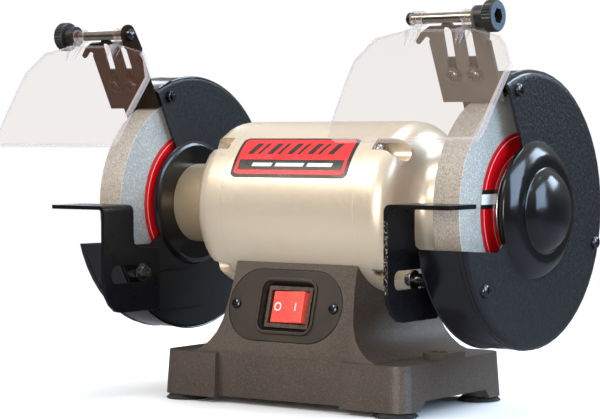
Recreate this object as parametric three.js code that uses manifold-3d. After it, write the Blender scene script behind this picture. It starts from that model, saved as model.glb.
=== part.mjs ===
// Bench grinder: a motor on a cast base, one spindle, and a guarded wheel at each end.
// Millimetres. X runs along the spindle, -Y is the operator's side, +Z is up.
import * as THREE from 'three';
import { mergeVertices } from 'three/addons/utils/BufferGeometryUtils.js';
import Module from 'manifold-3d';

const wasm = await Module();
wasm.setup();

const RAD = Math.PI / 180;
const GAP = 0.3;

// Where the spindle centre sits over the middle of the object's footprint.
const SPINDLE = { x: 9.7, y: 15.6, z: 131.2 };

// Motor
const SHELL_R = 57;
const SHELL_INNER_R = 52.6;
const SHELL_HALF = 54;
const NECK_R = 27.5;
const NECK_END = 118.2;
const BELL_SHOULDER_X = 66;
const SCOOP_R = 7.6;
const SCOOP_AXIS_R = 51.5;
const SCOOP_ANGLE = 48.5;
const SCOOP_START = 58.5;
const BEARING_R = 16;
const BEARING_START = 99;
const BEARING_WIDTH = 11;
const SHAFT_R = 6.35;
const SHAFT_HALF = 163;

// Wheels
const WHEEL_R = 75;
const WHEEL_WIDTH = 19;
const WHEEL_FROM = -11.35;
const BLOTTER_R = 50;
const BLOTTER_THICK = 0.8;
const FLANGE_R = 34.5;
const BORE_R = 6.65;

// Guards: distances along the spindle are from each guard's own middle, outward positive.
const GUARD_MID = 137.55;
const GUARD_INNER = 16.65;
const GUARD_OUTER = 19.7;
const GUARD_R = 89;
const SHEET = 2;
const SEAM = 16.4;
const HUB_R = 44;
const HUB_RISE = 2.4;
const PLATE_HOLE_R = 20;
const GUARD_TURN = 1.6;
const BRACKET_TILT = 26;
const COVER_SCREW_R = 80;
const COVER_SCREW_ANGLES = [109.3, 217.6, 344.6];
const POST_R = 3.4;

// Eye-shield bracket, measured along the shield's own radial plane
const BRACKET_X = [-29.3, 14.5];
const BRACKET_R = [76.5, 127.6];
const BRACKET_FRONT = -2.3;
const BRACKET_BACK = -0.3;
const BRACKET_SCREW_X = [-17, -1.5];
const BRACKET_SCREW_R = 95.6;
const SLOT_HALF = 3.2;
const ROD_AT = { off: -4, r: 134 };
const ROD_R = 3.25;
const EAR_X = [9.9, 11.8];
const ROD_LEFT = -36.1;
const KNOB = { collarR: 7, gripR: 9.9, collar: 6.4, length: 13.6, teeth: 30 };
const KNOB_SOCKET = 4;
const SHIELD_TILT = 35;
const SHIELD_THICK = 3;

// Tool rests
const LEG_FROM = 112;
const LEG_TO = 115;
const TABLE_END = 159.2;
const TABLE_THICK = 2.8;
const REST_FRONT = -108;
const TABLE_BACK = -77.5;
const TABLE_TOP = { right: 6.2, left: 0.8 };
const REST_BOLT = { y: -71, z: -43.6 };
const REST_SLOT = { from: -100.4, to: -62, drop: 46.9, half: 6 };

// Base
const BASE_HALF = 99.5;
const BASE_FRONT = -66;
const BASE_BACK = 60.6;
const BASE_BOTTOM = -127.5;
const BASE_DECK = -97.8;
const PANEL_Y = -61;
const PANEL_X = [-52, 50];
const WALL = 4;
const FACE_TOP = { y: -43.7, z: -36.5 };
const FOOT_R = 14.7;
const FOOT_POST_R = 11.5;
const FEET = [[85, -53.5], [85, 49], [-85, -53.5], [-85, 49]];
const LUG = { x: 87, y: -3.7, halfDepth: 13.5, rise: 4 };
const BOLT_SLOT = [5.8, 4.4];
const SWITCH = { x: -3.7, v: -29.4 };
const SWITCH_PLATE = [91.7, 48.4];
const POCKET = { x: -1.9, v: -29.8, size: [42.4, 33.4], radius: 6, depth: 5.4 };
const BEZEL = { size: [35.6, 28], depth: 1.8 };
const SWITCH_WINDOW = [30.8, 22.4];
const SWITCH_BOX = [34.4, 26.4];
const ROCKER_REST = 8.5;

const PAINT = {
  champagne: [0xc9bda8, 0.45, 0.35],
  casting: [0x3f3936, 0.7, 0.1],
  gloss: [0x17171a, 0.3, 0.1],
  satin: [0x1b1b1d, 0.5, 0.2],
  steel: [0xb8babd, 0.3, 0.9],
  iron: [0x76787c, 0.5, 0.7],
  stone: [0x8d8f92, 0.95, 0],
  red: [0xb4121c, 0.7, 0],
  switchRed: [0xd8261e, 0.3, 0],
  rubber: [0x161616, 0.9, 0],
  clear: [0xe9f0f2, 0.1, 0],
  copper: [0xb0653a, 0.5, 0.5],
};

// ---------------------------------------------------------------- solids

const ALONG_X = new THREE.Matrix4().set(0, 0, 1, 0, 1, 0, 0, 0, 0, 1, 0, 0, 0, 0, 0, 1);
const ALONG_Y = new THREE.Matrix4().set(1, 0, 0, 0, 0, 0, -1, 0, 0, 1, 0, 0, 0, 0, 0, 1);
const TURN_X = new THREE.Matrix4().set(0, 1, 0, 0, 0, 0, 1, 0, 1, 0, 0, 0, 0, 0, 0, 1);

function signedVolume(points, corners) {
  let total = 0;
  for (let i = 0; i < corners.length; i += 3) {
    const [a, b, c] = [0, 1, 2].map((k) =>
      new THREE.Vector3().fromArray(points, corners[i + k] * 3));
    total += a.dot(b.cross(c));
  }
  return total / 6;
}

function toSolid(geometry) {
  const bare = geometry.clone();
  bare.deleteAttribute('normal');
  bare.deleteAttribute('uv');
  const merged = mergeVertices(bare, 1e-4);
  const corners = merged.index.array;
  const points = merged.attributes.position.array;
  const kept = [];
  for (let i = 0; i < corners.length; i += 3) {
    const [a, b, c] = [corners[i], corners[i + 1], corners[i + 2]];
    if (a !== b && b !== c && c !== a) kept.push([a, b, c]);
  }
  const inward = signedVolume(points, kept.flat()) < 0;
  const faces = inward ? kept.map(([a, b, c]) => [a, c, b]) : kept;
  return new wasm.Manifold(new wasm.Mesh({
    numProp: 3,
    vertProperties: new Float32Array(points),
    triVerts: new Uint32Array(faces.flat()),
  }));
}

function toGeometry(solid) {
  const mesh = solid.getMesh();
  const geometry = new THREE.BufferGeometry();
  geometry.setAttribute('position', new THREE.BufferAttribute(mesh.vertProperties, 3));
  geometry.setIndex(new THREE.BufferAttribute(mesh.triVerts, 1));
  return geometry;
}

function moved(solid, matrix) {
  return toSolid(toGeometry(solid).applyMatrix4(matrix));
}

function shift(x, y, z) {
  return new THREE.Matrix4().makeTranslation(x, y, z);
}

function join(first, ...rest) {
  return rest.reduce((sum, solid) => sum.add(solid), first);
}

function cut(first, ...rest) {
  return rest.reduce((sum, solid) => sum.subtract(solid), first);
}

function extrude(points, from, to, matrix) {
  const shape = new THREE.Shape(points.map(([a, b]) => new THREE.Vector2(a, b)));
  const depth = Math.abs(to - from);
  const geometry = new THREE.ExtrudeGeometry(shape, { depth, bevelEnabled: false });
  geometry.translate(0, 0, Math.min(from, to));
  return toSolid(geometry.applyMatrix4(matrix));
}

// Outline in (y, z), running from x0 to x1.
function prismX(points, x0, x1) {
  return extrude(points, x0, x1, ALONG_X);
}

// Outline in (x, z), running from y0 to y1.
function prismY(points, y0, y1) {
  return extrude(points, -y1, -y0, ALONG_Y);
}

// Outline in (x, y), running from z0 to z1.
function prismZ(points, z0, z1) {
  return extrude(points, z0, z1, new THREE.Matrix4());
}

// Profile of [x, r] pairs turned about the X axis.
function turnX(profile, segments = 24) {
  const outline = profile.map(([x, r]) => new THREE.Vector2(r, x));
  return toSolid(new THREE.LatheGeometry(outline, segments).applyMatrix4(TURN_X));
}

function closedTurn(profile, segments) {
  return turnX([...profile, profile[0]], segments);
}

function rodX(x0, x1, radius, segments = 20, y = 0, z = 0) {
  const rod = turnX([[x0, 0], [x0, radius], [x1, radius], [x1, 0]], segments);
  return y || z ? moved(rod, shift(0, y, z)) : rod;
}

function ringX(x0, x1, inner, outer, segments = 24) {
  return closedTurn([[x0, inner], [x0, outer], [x1, outer], [x1, inner]], segments);
}

function rodY(y0, y1, radius, x, z, segments = 20) {
  const turn = new THREE.Matrix4().makeRotationZ(Math.PI / 2);
  return moved(rodX(y0, y1, radius, segments), shift(x, 0, z).multiply(turn));
}

function rodZ(z0, z1, radius, x, y, segments = 20) {
  const turn = new THREE.Matrix4().makeRotationY(-Math.PI / 2);
  return moved(rodX(z0, z1, radius, segments), shift(x, y, 0).multiply(turn));
}

function rounded(halfA, halfB, radius, a = 0, b = 0, steps = 4) {
  const points = [];
  for (const [sa, sb, start] of [[1, 1, 0], [-1, 1, 90], [-1, -1, 180], [1, -1, 270]]) {
    for (let i = 0; i <= steps; i += 1) {
      const angle = (start + (90 * i) / steps) * RAD;
      points.push([
        a + sa * (halfA - radius) + radius * Math.cos(angle),
        b + sb * (halfB - radius) + radius * Math.sin(angle),
      ]);
    }
  }
  return points;
}

function hexagon(acrossFlats, a = 0, b = 0) {
  const radius = acrossFlats / Math.sqrt(3);
  return [0, 1, 2, 3, 4, 5].map((i) => [
    a + radius * Math.cos((30 + 60 * i) * RAD),
    b + radius * Math.sin((30 + 60 * i) * RAD),
  ]);
}

function part(name, solid, [color, roughness, metalness]) {
  const material = new THREE.MeshStandardMaterial({ color, roughness, metalness });
  if (color === PAINT.clear[0]) {
    material.transparent = true;
    material.opacity = 0.35;
  }
  const geometry = toGeometry(solid);
  geometry.computeVertexNormals();
  const mesh = new THREE.Mesh(geometry, material);
  mesh.name = name;
  return mesh;
}

function group(children, { x = 0, y = 0, z = 0, turn = 0 } = {}) {
  const holder = new THREE.Group();
  holder.position.set(x, y, z);
  holder.rotation.x = turn * RAD;
  holder.add(...children);
  return holder;
}

// ---------------------------------------------------------------- base

const FACE_FOOT = { y: PANEL_Y, z: BASE_DECK };
const FACE_LEAN = Math.atan2(FACE_TOP.y - FACE_FOOT.y, FACE_TOP.z - FACE_FOOT.z);

// Places something drawn in (x, v) on the leaning switch face, v up the face, -Y outward.
function onFace(solid) {
  const lean = new THREE.Matrix4().makeRotationX(-FACE_LEAN);
  return moved(solid, shift(0, FACE_TOP.y, FACE_TOP.z).multiply(lean));
}

function taperedBlock() {
  const width = BASE_HALF;
  const middle = (BASE_FRONT + BASE_BACK) / 2;
  const depth = (BASE_BACK - BASE_FRONT) / 2;
  const shape = new THREE.Shape(
    rounded(width, depth, 12, 0, middle).map(([a, b]) => new THREE.Vector2(a, b)));
  const height = BASE_DECK - BASE_BOTTOM;
  const geometry = new THREE.ExtrudeGeometry(shape, { depth: height, bevelEnabled: false });
  const position = geometry.attributes.position;
  const draft = 1.6;
  for (let i = 0; i < position.count; i += 1) {
    if (position.getZ(i) < height / 2) continue;
    position.setX(i, position.getX(i) * (1 - draft / width));
    position.setY(i, middle + (position.getY(i) - middle) * (1 - draft / depth));
  }
  return toSolid(geometry.translate(0, 0, BASE_BOTTOM));
}

// Half-widths of the pedestal at heights below the spindle, from the saddle to the deck.
const PEDESTAL_EDGE = [
  [49.3, -24], [49.2, -37], [49.8, -52], [51.4, -66], [53.2, -76], [56.6, -84],
  [61.2, -90], [67.4, -95], [74, -97.6], [74, -100],
];

function pedestal() {
  const right = PEDESTAL_EDGE;
  const left = [...PEDESTAL_EDGE].reverse().map(([x, z]) => [-x, z]);
  const slope = (FACE_FOOT.y - FACE_TOP.y) / (FACE_FOOT.z - FACE_TOP.z);
  const frontAt = (z) => FACE_TOP.y + slope * (z - FACE_TOP.z);
  const side = [
    [frontAt(-24), -24], [PANEL_Y, BASE_DECK], [PANEL_Y, -100], [54, -100], [40, -24],
  ];
  return prismY([...right, ...left], -80, 80).intersect(prismX(side, -80, 80));
}

function housingCavity() {
  const room = prismZ(rounded(BASE_HALF - WALL, 57.5, 9), BASE_BOTTOM - 1, BASE_DECK - WALL)
    .intersect(prismX([[-57, -130], [56.5, -130], [56.5, -90], [-57, -90]], -99, 99));
  const widths = [[44, -64], [44.5, -80], [52, -92], [56, -103]];
  const mirrored = [...widths].reverse().map(([x, z]) => [-x, z]);
  const tower = prismY([...widths, ...mirrored], -90, 90)
    .intersect(prismX([[-42, -64], [-53, -103], [47.5, -103], [41, -64]], -90, 90));
  const posts = FEET.map(([x, y]) => rodZ(BASE_BOTTOM - 2, BASE_DECK, FOOT_POST_R, x, y, 14));
  return cut(room.add(tower), ...posts);
}

// A raised pad round the right-hand bench bolt, half-round towards the pedestal.
function mountingLug() {
  const inner = 76;
  const reach = BASE_HALF - 1.5;
  const outline = [];
  for (let i = 0; i <= 8; i += 1) {
    const angle = (90 + 22.5 * i) * RAD;
    outline.push([
      inner + LUG.halfDepth * (1 + Math.cos(angle)),
      LUG.y + LUG.halfDepth * Math.sin(angle),
    ]);
  }
  outline.push([reach, LUG.y - LUG.halfDepth], [reach, LUG.y + LUG.halfDepth]);
  return prismZ(outline, BASE_DECK - 2, BASE_DECK + LUG.rise);
}

// The slots that the bench bolts drop through, one near each end.
function benchBoltSlots(low, high, spare = 0) {
  const [long, wide] = BOLT_SLOT.map((half) => half + spare);
  return [-1, 1].map((side) =>
    prismZ(rounded(long, wide, wide - 0.1, side * LUG.x, LUG.y), low, high));
}

// The kick-panel recess along the front foot, and the arch under the middle of the base.
function footRecesses() {
  const [left, right] = PANEL_X;
  const panel = prismY([[left, -130], [right, -130], [right, -94], [left, -94]],
    BASE_FRONT - 4, PANEL_Y);
  const panelArch = prismY([[left, -130], [right + 2, -130], [right + 2, -127.2], [right - 4, -126.3],
    [left, -126.9]], PANEL_Y - 3, PANEL_Y + 6);
  const sideArch = prismX([[-45, -130], [-46.4, -127], [-40.8, -121.5], [33.8, -121.5], [38.4, -127],
    [40, -130]], -110, 110);
  return join(panel, panelArch, sideArch);
}

// Seat for the plate, the pocket for the switch, and the hole its body drops through.
function switchRecesses() {
  const [width, height] = SWITCH_PLATE;
  const seat = prismY(rounded(width / 2 + 0.4, height / 2 + 0.4, 24, SWITCH.x, SWITCH.v, 6), -3, 1);
  const pocket = pocketPrism(POCKET.size, GAP / 2, POCKET.radius, -3, POCKET.depth);
  const hole = pocketPrism(SWITCH_BOX, 0.5, 2, -3, 20);
  return onFace(join(seat, pocket, hole));
}

// A rounded block centred on the switch pocket, grown by `spare` all round.
function pocketPrism([width, height], spare, radius, from, to) {
  const outline = rounded(width / 2 + spare, height / 2 + spare, radius, POCKET.x, POCKET.v);
  return prismY(outline, from, to);
}

function baseHousing() {
  const saddle = rodX(-90, 90, SHELL_R + GAP, 60);
  const inlet = rodY(50, 66, 7.4, 0, -112);
  const solid = join(taperedBlock(), pedestal(), mountingLug());
  const slots = benchBoltSlots(BASE_DECK - 8, BASE_DECK + 6);
  return cut(solid, footRecesses(), housingCavity(), saddle, inlet, switchRecesses(), ...slots);
}

function bottomPlate() {
  const sheet = prismZ(rounded(BASE_HALF - WALL - 0.6, 56.2, 8, 0, -0.3), -121.4, -120);
  const posts = FEET.map(([x, y]) => rodZ(-125, -115, FOOT_POST_R + 0.6, x, y, 14));
  return cut(sheet, ...posts, ...benchBoltSlots(-123, -118, 1));
}

function foot([x, y]) {
  const profile = [[-131.2, 0], [-131.2, FOOT_R - 0.9], [-130.3, FOOT_R], [-127.8, 11.6], [-127.8, 0]];
  const turn = new THREE.Matrix4().makeRotationY(-Math.PI / 2);
  return moved(turnX(profile, 22), shift(x, y, 0).multiply(turn));
}

function switchPlate() {
  const [width, height] = SWITCH_PLATE;
  const outline = rounded(width / 2, height / 2, height / 2 - 0.2, SWITCH.x, SWITCH.v, 8);
  const lip = pocketPrism(POCKET.size, 2.2, POCKET.radius + 2, -1.7, 0.5);
  const window = pocketPrism(POCKET.size, 0, POCKET.radius, -4, 2);
  return onFace(cut(join(prismY(outline, -0.3, 0.7), lip), window));
}

// A flange on the pocket's floor, a square bezel standing on it, and the box behind.
function switchBody() {
  const flange = pocketPrism(POCKET.size, -0.4, POCKET.radius, POCKET.depth - 1.7, POCKET.depth - GAP);
  const bezel = pocketPrism(BEZEL.size, 0, 0.8, BEZEL.depth, POCKET.depth - 0.6);
  const body = pocketPrism(SWITCH_BOX, 0, 1.6, POCKET.depth - 0.6, 17);
  const well = pocketPrism(SWITCH_WINDOW, 0, 0.6, -2, 14);
  return onFace(cut(join(flange, bezel, body), well));
}

// A seesaw cap, drawn in (x, depth) about its pivot; at rest its right-hand end stands proud.
function rocker() {
  const half = SWITCH_WINDOW[0] / 2 - 1.1;
  const section = [
    [-half, 6], [-half, 0.4], [2 - half, -0.9], [0, -0.2], [half - 1.2, -0.9], [half, -0.2], [half, 6],
    [4, 9], [-4, 9],
  ];
  const reach = SWITCH_WINDOW[1] / 2 - 0.7;
  const cap = prismZ(section, -reach, reach);
  const tilt = new THREE.Matrix4().makeRotationZ(-ROCKER_REST * RAD);
  return onFace(moved(cap, shift(POCKET.x, 0.6, POCKET.v).multiply(tilt)));
}

function cableGland() {
  const length = [54, 60.9, 60.9, 64, 64, 71, 71, 54];
  const radius = [7, 7, 10.5, 10.5, 8.6, 7.4, 4.2, 4.2];
  const profile = length.map((at, i) => [at, radius[i]]);
  const turn = new THREE.Matrix4().makeRotationZ(Math.PI / 2);
  return moved(closedTurn(profile, 14), shift(0, 0, -112).multiply(turn));
}

function baseGroup() {
  return [
    part('base_housing', baseHousing(), PAINT.casting),
    part('base_plate', bottomPlate(), PAINT.iron),
    ...FEET.map((at, i) => part(`foot_${i + 1}`, foot(at), PAINT.rubber)),
    part('capacitor', rodX(-32, 32, 13.5, 24, 12, -106), PAINT.steel),
    part('switch_plate', switchPlate(), PAINT.casting),
    part('switch_body', switchBody(), PAINT.satin),
    part('rocker', rocker(), PAINT.switchRed),
    part('cable_gland', cableGland(), PAINT.rubber),
  ];
}

// ---------------------------------------------------------------- motor

const BELL_OUTSIDE = [
  [SHELL_HALF + GAP, 0], [SHELL_HALF + GAP, SHELL_R], [BELL_SHOULDER_X, SHELL_R], [70.5, 56.3],
  [75.4, 53.2], [79.2, 47.4], [82, 38.6], [86, 31.6], [93, 28], [NECK_END, NECK_R], [NECK_END, 0],
];
const BELL_INSIDE = [
  [SHELL_HALF - 1, 0], [SHELL_HALF - 1, SHELL_INNER_R], [68, SHELL_INNER_R], [77, 38], [88, 22],
  [BEARING_START - 0.5, BEARING_R + GAP],
  [BEARING_START + BEARING_WIDTH + GAP, BEARING_R + GAP],
  [BEARING_START + BEARING_WIDTH + GAP, 12.6], [NECK_END + 1, 12.6], [NECK_END + 1, 0],
];

function scoopSpots() {
  const spots = [];
  for (const back of [-1, 1]) {
    for (const high of [-1, 1]) {
      spots.push([
        back * SCOOP_AXIS_R * Math.cos(SCOOP_ANGLE * RAD),
        high * SCOOP_AXIS_R * Math.sin(SCOOP_ANGLE * RAD),
      ]);
    }
  }
  return spots;
}

function endBell(side) {
  const outside = turnX(BELL_OUTSIDE.map(([x, r]) => [side * x, r]), 44);
  const inside = turnX(BELL_INSIDE.map(([x, r]) => [side * x, r]), 18);
  const bosses = scoopSpots().map(([y, z]) =>
    rodX(side * (SHELL_HALF + GAP), side * 84, SCOOP_R + 3, 10, y, z).intersect(outside));
  const scoops = scoopSpots().map(([y, z]) =>
    rodX(side * SCOOP_START, side * 95, SCOOP_R, 16, y, z));
  return cut(join(cut(outside, inside), ...bosses), ...scoops);
}

function shaft() {
  const half = [
    [SHAFT_HALF, 0], [SHAFT_HALF, 5.4], [SHAFT_HALF - 1, SHAFT_R], [117.6, SHAFT_R], [117.6, 9.4],
    [BEARING_START + BEARING_WIDTH + 1, 9.4], [BEARING_START + BEARING_WIDTH + 1, 7.4],
    [BEARING_START - GAP, 7.4], [BEARING_START - GAP, 9.6],
  ];
  const mirrored = [...half].reverse().map(([x, r]) => [-x, r]);
  return turnX([...half, ...mirrored], 14);
}

function windingRing(side) {
  const profile = [[29.5, 39], [29.5, 51], [44, 50], [47, 45], [43, 40]];
  return closedTurn(profile.map(([x, r]) => [side * x, r]), 16);
}

function motorGroup() {
  const shell = ringX(-SHELL_HALF, SHELL_HALF, SHELL_INNER_R, SHELL_R, 60);
  const pieces = [
    part('motor_shell', shell, PAINT.champagne),
    part('stator_core', ringX(-29, 29, 36, SHELL_INNER_R - 0.6, 20), PAINT.iron),
    part('rotor_core', ringX(-29, 29, 10, 35.2, 18), PAINT.steel),
    part('spindle_shaft', shaft(), PAINT.steel),
  ];
  for (const [side, word] of [[-1, 'left'], [1, 'right']]) {
    pieces.push(
      part(`${word}_end_bell`, endBell(side), PAINT.champagne),
      part(`${word}_winding`, windingRing(side), PAINT.copper),
      part(`${word}_bearing`, ringX(side * BEARING_START, side * (BEARING_START + BEARING_WIDTH),
        7.9, BEARING_R, 14), PAINT.steel),
    );
  }
  return pieces;
}

// ---------------------------------------------------------------- wheel set

function blotter(side, from) {
  return ringX(side * from, side * (from + BLOTTER_THICK), 8.5, BLOTTER_R, 30);
}

function wheelSet(side, word) {
  const wheelTo = WHEEL_FROM + WHEEL_WIDTH;
  const lengthwise = (profile) => profile.map(([u, r]) => [side * u, r]);
  const wheel = [
    [WHEEL_FROM, BORE_R], [WHEEL_FROM, WHEEL_R], [wheelTo, WHEEL_R], [wheelTo, BORE_R],
  ];
  const backFlange = [
    [-19.7, BORE_R], [-19.7, 11.5], [-14.7, 11.5], [-14.5, FLANGE_R], [-12.7, FLANGE_R], [-12.7, BORE_R],
  ];
  const faceFlange = [
    [9, BORE_R], [9, FLANGE_R], [10.2, FLANGE_R], [11.6, FLANGE_R - 2.5], [12.4, 13], [12.4, BORE_R],
  ];
  const nut = cut(prismX(hexagon(19), side * 12.7, side * 21.7), rodX(-30, 30, BORE_R, 12));
  const back = WHEEL_FROM - GAP;
  const front = wheelTo + GAP;
  return [
    part(`${word}_wheel`, closedTurn(lengthwise(wheel), 60), PAINT.stone),
    part(`${word}_inner_flange`, closedTurn(lengthwise(backFlange), 20), PAINT.steel),
    part(`${word}_outer_flange`, closedTurn(lengthwise(faceFlange), 22), PAINT.steel),
    part(`${word}_inner_blotter`, blotter(side, back - BLOTTER_THICK), PAINT.red),
    part(`${word}_outer_blotter`, blotter(side, front), PAINT.red),
    part(`${word}_spindle_nut`, nut, PAINT.steel),
  ];
}

// ---------------------------------------------------------------- guards

const UPPER_EDGE = [-Math.sin(BRACKET_TILT * RAD), Math.cos(BRACKET_TILT * RAD)];

// The operator's opening: from the bracket's radial plane round to a near-level lower edge.
function openingCut() {
  const outline = [
    [UPPER_EDGE[0] * 20, UPPER_EDGE[1] * 20], [UPPER_EDGE[0] * 120, UPPER_EDGE[1] * 120],
    [-130, 108], [-130, -22.4], [-49, -26], [-33, -16],
  ];
  return cut(prismX(outline, -50, 50), rodX(-51, 51, HUB_R, 52));
}

function coverScrewSpots() {
  return COVER_SCREW_ANGLES.map((angle) => [
    COVER_SCREW_R * Math.cos(angle * RAD),
    COVER_SCREW_R * Math.sin(angle * RAD),
  ]);
}

// The upstanding tab, in the bracket's plane, that carries the eye-shield bracket.
function bracketTab() {
  const outline = [
    [-13.2, 85], [13.2, 85], [13.2, 89.6], [BRACKET_SCREW_X[1] + 11.5, 89.6],
    [BRACKET_SCREW_X[1] + 11.5, 105.8], [BRACKET_SCREW_X[0] - 5, 105.8], [BRACKET_SCREW_X[0] - 5, 89.6],
    [-13.2, 89.6],
  ];
  const holes = BRACKET_SCREW_X.map((x) => rodY(-1, 4, 2.6, x, BRACKET_SCREW_R, 8));
  const tilt = new THREE.Matrix4().makeRotationX(BRACKET_TILT * RAD);
  return moved(cut(prismY(outline, 0, 2), ...holes), tilt);
}

const DRUM_OUTSIDE = [
  [-GUARD_INNER - HUB_RISE, 0], [-GUARD_INNER - HUB_RISE, HUB_R - 4.6], [-GUARD_INNER - 1.6, HUB_R - 1.6],
  [-GUARD_INNER, HUB_R], [-GUARD_INNER, GUARD_R - 2.6], [-GUARD_INNER + 0.8, GUARD_R - 0.8],
  [-GUARD_INNER + 2.6, GUARD_R], [SEAM, GUARD_R], [SEAM, 0],
];
const DRUM_INSIDE = [
  [-GUARD_INNER - HUB_RISE + SHEET, 0], [-GUARD_INNER - HUB_RISE + SHEET, HUB_R - 5.4],
  [-GUARD_INNER + SHEET, HUB_R - 1.4], [-GUARD_INNER + SHEET, GUARD_R - 3.6],
  [-GUARD_INNER + 3.8, GUARD_R - SHEET], [SEAM + 1, GUARD_R - SHEET], [SEAM + 1, 0],
];
// The stiffening pad pressed into the drum's motor side, and the boss the rest's bolt enters.
const PAD = { half: [32.5, 13.5], radius: 9, y: -17.5, z: -59.5, rise: 2.6 };
const BOSS_R = 4.2;

function alongGuard(profile, side) {
  return profile.map(([u, r]) => [side * u, r]);
}

function guardDrum(side) {
  const inner = -GUARD_INNER + 1;
  const body = cut(turnX(alongGuard(DRUM_OUTSIDE, side), 52), turnX(alongGuard(DRUM_INSIDE, side), 24));
  const padOutline = rounded(...PAD.half, PAD.radius, PAD.y, PAD.z);
  const pad = prismX(padOutline, side * (-GUARD_INNER - PAD.rise), side * inner);
  const reach = LEG_TO + GAP - GUARD_MID;
  const boss = rodX(side * reach, side * inner, BOSS_R, 14, REST_BOLT.y, REST_BOLT.z);
  const bossHole = rodX(side * -40, 0, 3.4, 10, REST_BOLT.y, REST_BOLT.z);
  const posts = coverScrewSpots().map(([y, z]) =>
    rodX(side * inner, side * (SEAM + GAP), POST_R, 8, y, z));
  const postHoles = coverScrewSpots().map(([y, z]) => rodX(side * 6, side * 24, 1.9, 6, y, z));
  const opened = cut(body, openingCut());
  return cut(join(opened, pad, boss, ...posts, bracketTab()), bossHole, ...postHoles,
    rodX(-40, 40, PLATE_HOLE_R, 20));
}

// The cover's rim rolls over to the seam; its hub is a rounded step with a dome in the middle.
const COVER_OUTSIDE = [
  [SEAM + GAP, 0], [SEAM + GAP, GUARD_R], [17.7, GUARD_R - 0.6], [18.9, GUARD_R - 2.2],
  [GUARD_OUTER, GUARD_R - 5.4], [GUARD_OUTER, HUB_R + 0.2], [20.9, HUB_R - 0.7], [23, 41.2], [25.2, 38],
  [26.6, 34.4], [26.8, 31.4], [26.3, 28], [27, 26.4], [29.4, 25], [32, 22.4], [34.2, 18.2], [36.4, 10.4],
  [37.4, 0],
];
const COVER_INSIDE = [
  [SEAM - 1, 0], [SEAM - 1, GUARD_R - 2.2], [GUARD_OUTER - SHEET, GUARD_R - 5],
  [GUARD_OUTER - SHEET, HUB_R - 1], [22.4, 38.4], [24.4, 33.6], [24.4, 25], [31, 19.6], [34.2, 10],
  [35.2, 0],
];

function guardCover(side) {
  const body = cut(turnX(alongGuard(COVER_OUTSIDE, side), 52), turnX(alongGuard(COVER_INSIDE, side), 20));
  const holes = coverScrewSpots().map(([y, z]) => rodX(-50, 50, 2, 8, y, z));
  return cut(body, openingCut(), ...holes);
}

// Pan head and shank, drawn along +X with the head's seat at x = 0.
function panScrew(headR, headHeight, shankR, shankLength, washerR = 0) {
  const lift = washerR ? 1 : 0;
  const washer = washerR ? [[0, washerR], [lift, washerR]] : [];
  const profile = [
    [-shankLength, 0], [-shankLength, shankR], [0, shankR], ...washer,
    [lift, headR], [lift + headHeight * 0.55, headR], [lift + headHeight, headR * 0.55],
    [lift + headHeight, 0],
  ];
  return turnX(profile, 12);
}

function coverScrews(side, word) {
  return coverScrewSpots().map(([y, z], i) => {
    const screw = panScrew(4.3, 2.8, 1.5, 8);
    const flip = new THREE.Matrix4().makeRotationZ(side > 0 ? 0 : Math.PI);
    const seat = shift(side * (GUARD_OUTER + 0.2), y, z);
    return part(`${word}_cover_screw_${i + 1}`, moved(screw, seat.multiply(flip)), PAINT.steel);
  });
}

function guardGroup(side, word) {
  return [
    part(`${word}_guard_drum`, guardDrum(side), PAINT.gloss),
    part(`${word}_guard_cover`, guardCover(side), PAINT.gloss),
    part(`${word}_rest_bolt`, restBolt(side), PAINT.steel),
    ...coverScrews(side, word),
  ];
}

// ---------------------------------------------------------------- eye shields

// Drawn in (x, r) on the bracket's plane: a slotted plate with a hooked arm at its upper left.
function bracketPlate() {
  const [left, right] = BRACKET_X;
  const [bottom, top] = BRACKET_R;
  const outline = [
    [left, bottom], [right, bottom], [right, 116.5], [EAR_X[1], 118.5], [EAR_X[1], top],
    [-9.5, top], [-11, top + 2.4], [-16.6, top + 2.4], [-18.4, top],
    [-27.6, top], [-33.8, 124.2], [-39.2, 118.6], [-38.6, 116.8], [-36.9, 116.3],
    [-31.2, 121], [-29.8, 121.2], [-28.2, 119.8], [left, 118],
  ];
  const plate = prismY(outline, BRACKET_FRONT, BRACKET_BACK);
  const slots = [[-14.6, 123.9], [-0.1, 122]].map(([x, end], i) => {
    const points = [];
    for (let k = 0; k <= 6; k += 1) {
      const angle = Math.PI * (k / 6);
      points.push([x + SLOT_HALF * Math.cos(angle), end + SLOT_HALF * Math.sin(angle)]);
    }
    for (let k = 0; k <= 6; k += 1) {
      const angle = Math.PI * (1 + k / 6);
      points.push([
        BRACKET_SCREW_X[i] + SLOT_HALF * Math.cos(angle),
        BRACKET_SCREW_R - 2.2 + SLOT_HALF * Math.sin(angle),
      ]);
    }
    return prismY(points, -4, 1);
  });
  return cut(join(plate, bracketEar()), ...slots, rodX(0, 20, ROD_R + 0.4, 14, ROD_AT.off, ROD_AT.r));
}

// A lug bent square to the plate, rounded over the rod's hole. Drawn in (off, r).
function bracketEar() {
  const points = [[BRACKET_BACK, 112], [BRACKET_BACK + 4.6, 119.5], [ROD_AT.off + 6.9, ROD_AT.r]];
  for (let k = 1; k <= 8; k += 1) {
    const angle = (180 * k * RAD) / 8;
    points.push([ROD_AT.off + 6.9 * Math.cos(angle), ROD_AT.r + 6.9 * Math.sin(angle)]);
  }
  points.push([ROD_AT.off - 6.6, 127], [BRACKET_FRONT - 0.2, 112]);
  return prismX(points, EAR_X[0], EAR_X[1]);
}

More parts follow.
